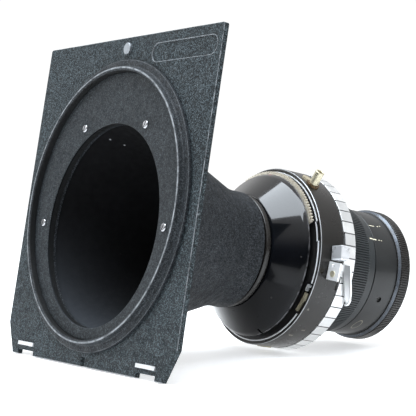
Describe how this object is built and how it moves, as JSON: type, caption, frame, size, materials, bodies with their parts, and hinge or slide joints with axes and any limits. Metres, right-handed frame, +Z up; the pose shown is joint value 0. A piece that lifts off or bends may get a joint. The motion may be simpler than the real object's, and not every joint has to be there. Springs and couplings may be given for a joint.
{
  "type": "enlarger lens",
  "caption": "Darkroom and large-format lens in a leaf shutter, standing forward of a square lens board on a black extension cone.",
  "frame": {"origin": "centre of the light-trap ring in the plane of the lens board's rear face", "axes": "+Z up as the object lies on a table, +Y forward from the board to the front lens, tipped down by 10.1 degrees, +X to the right seen from behind the board"},
  "size_m": [0.096, 0.1172, 0.0977],
  "materials": {
    "board_paint": "grey-black crinkle paint",
    "cone_paint": "fine crinkle black paint over aluminium",
    "ring_paint": "black paint worn bright at the edges",
    "bare_metal": "bright",
    "steel": "bright machined",
    "screw_black": "blackened",
    "gloss_black": "glossy black lacquer",
    "case_black": "semi-gloss black lacquer",
    "champagne": "thin nickel over brass",
    "silver_ring": "satin anodised",
    "chrome": "polished",
    "brass": "bright",
    "blade_steel": "blackened spring steel",
    "black_anodised": "semi-gloss black anodised",
    "glass": "coated optical glass"
  },
  "bodies": {
    "lens_mount": {"lens_board": "board_paint", "light_trap_ring": "ring_paint", "clamp_plate": "cone_paint", "flange_screws": "screw_black", "board_pads": "bare_metal", "board_rivet": "bare_metal", "extension_cone": "cone_paint", "lock_ring": "black_anodised", "rear_cover": "gloss_black", "shutter_plate": "steel", "sync_contact": "brass", "contact_clip": "chrome", "shutter_case": "case_black", "front_sleeve": "black_anodised", "front_plate": "case_black", "flash_socket": "brass", "socket_collar": "brass", "flash_pin": "brass", "release_socket": "brass", "iris_pivots": "steel", "shutter_pivots": "steel", "blade_plate": "black_anodised", "front_grip": "black_anodised", "front_barrel": "black_anodised", "set_screw": "screw_black", "front_bezel": "black_anodised", "front_glass_1": "glass", "front_glass_2": "glass", "rear_glass_1": "glass", "rear_glass_2": "glass", "front_spacer": "black_anodised", "front_retainer": "black_anodised", "inner_retainer": "black_anodised", "rear_cell": "black_anodised", "rear_spacer": "black_anodised", "rear_retainer": "black_anodised"},
    "speed_ring": {"speed_ring": "silver_ring"},
    "aperture_ring": {"aperture_ring": "champagne"},
    "cocking_lever": {"cocking_lever": "chrome"},
    "release_lever": {"release_lever": "chrome", "lever_rivet": "brass"},
    "drive_ring": {"drive_ring": "steel"},
    "iris_blade_1": {"iris_blade_1": "blade_steel"},
    "shutter_blade_1": {"shutter_blade_1": "blade_steel"},
    "iris_blade_2": {"iris_blade_2": "blade_steel"},
    "shutter_blade_2": {"shutter_blade_2": "blade_steel"},
    "iris_blade_3": {"iris_blade_3": "blade_steel"},
    "shutter_blade_3": {"shutter_blade_3": "blade_steel"},
    "iris_blade_4": {"iris_blade_4": "blade_steel"},
    "shutter_blade_4": {"shutter_blade_4": "blade_steel"},
    "iris_blade_5": {"iris_blade_5": "blade_steel"},
    "shutter_blade_5": {"shutter_blade_5": "blade_steel"}
  },
  "joints": [
    {"name": "speed_turn", "type": "hinge", "parent": "lens_mount", "child": "speed_ring", "pos_m": [0, 0.0708, -0.01876], "axis": [0, -0.9844, 0.1761], "range_deg": [-70, 80]},
    {"name": "aperture_turn", "type": "hinge", "parent": "lens_mount", "child": "aperture_ring", "pos_m": [0, 0.0582, -0.01651], "axis": [0, -0.9844, 0.1761], "range_deg": [-40, 50]},
    {"name": "cocking_swing", "type": "hinge", "parent": "lens_mount", "child": "cocking_lever", "pos_m": [0, 0.06844, -0.01834], "axis": [0, -0.9844, 0.1761], "range_deg": [0, 30]},
    {"name": "release_press", "type": "hinge", "parent": "lens_mount", "child": "release_lever", "pos_m": [0, 0.06844, -0.01834], "axis": [0, -0.9844, 0.1761], "range_deg": [-8, 0], "stiffness_Nm_per_rad": 0.02, "springref_deg": 5.73},
    {"name": "drive_turn", "type": "hinge", "parent": "lens_mount", "child": "drive_ring", "pos_m": [0, 0.06568, -0.01784], "axis": [0, -0.9844, 0.1761], "range_deg": [0, 40], "stiffness_Nm_per_rad": 0.004, "springref_deg": -11.46},
    {"name": "iris_swing_1", "type": "hinge", "parent": "lens_mount", "child": "iris_blade_1", "pos_m": [0.024, 0.0602, -0.01686], "axis": [0, -0.9844, 0.1761], "range_deg": [-20, 25]},
    {"name": "shutter_swing_1", "type": "hinge", "parent": "lens_mount", "child": "shutter_blade_1", "pos_m": [0.024, 0.06266, -0.0173], "axis": [0, -0.9844, 0.1761], "range_deg": [0, 50]},
    {"name": "iris_swing_2", "type": "hinge", "parent": "lens_mount", "child": "iris_blade_2", "pos_m": [0.00742, 0.06451, 0.00555], "axis": [0, -0.9844, 0.1761], "range_deg": [-20, 25]},
    {"name": "shutter_swing_2", "type": "hinge", "parent": "lens_mount", "child": "shutter_blade_2", "pos_m": [0.00742, 0.06697, 0.00511], "axis": [0, -0.9844, 0.1761], "range_deg": [0, 50]},
    {"name": "iris_swing_3", "type": "hinge", "parent": "lens_mount", "child": "iris_blade_3", "pos_m": [-0.01942, 0.06327, -0.00308], "axis": [0, -0.9844, 0.1761], "range_deg": [-20, 25]},
    {"name": "shutter_swing_3", "type": "hinge", "parent": "lens_mount", "child": "shutter_blade_3", "pos_m": [-0.01942, 0.06573, -0.00352], "axis": [0, -0.9844, 0.1761], "range_deg": [0, 50]},
    {"name": "iris_swing_4", "type": "hinge", "parent": "lens_mount", "child": "iris_blade_4", "pos_m": [-0.01942, 0.0586, -0.03091], "axis": [0, -0.9844, 0.1761], "range_deg": [-20, 25]},
    {"name": "shutter_swing_4", "type": "hinge", "parent": "lens_mount", "child": "shutter_blade_4", "pos_m": [-0.01942, 0.06106, -0.03135], "axis": [0, -0.9844, 0.1761], "range_deg": [0, 50]},
    {"name": "iris_swing_5", "type": "hinge", "parent": "lens_mount", "child": "iris_blade_5", "pos_m": [0.00742, 0.05736, -0.03954], "axis": [0, -0.9844, 0.1761], "range_deg": [-20, 25]},
    {"name": "shutter_swing_5", "type": "hinge", "parent": "lens_mount", "child": "shutter_blade_5", "pos_m": [0.00742, 0.05982, -0.03998], "axis": [0, -0.9844, 0.1761], "range_deg": [0, 50]}
  ],
  "couplings": [
    {"joint": "iris_swing_1", "follows": "aperture_turn", "ratio": 0.5},
    {"joint": "shutter_swing_1", "follows": "drive_turn", "ratio": 1.25},
    {"joint": "iris_swing_2", "follows": "aperture_turn", "ratio": 0.5},
    {"joint": "shutter_swing_2", "follows": "drive_turn", "ratio": 1.25},
    {"joint": "iris_swing_3", "follows": "aperture_turn", "ratio": 0.5},
    {"joint": "shutter_swing_3", "follows": "drive_turn", "ratio": 1.25},
    {"joint": "iris_swing_4", "follows": "aperture_turn", "ratio": 0.5},
    {"joint": "shutter_swing_4", "follows": "drive_turn", "ratio": 1.25},
    {"joint": "iris_swing_5", "follows": "aperture_turn", "ratio": 0.5},
    {"joint": "shutter_swing_5", "follows": "drive_turn", "ratio": 1.25}
  ]
}
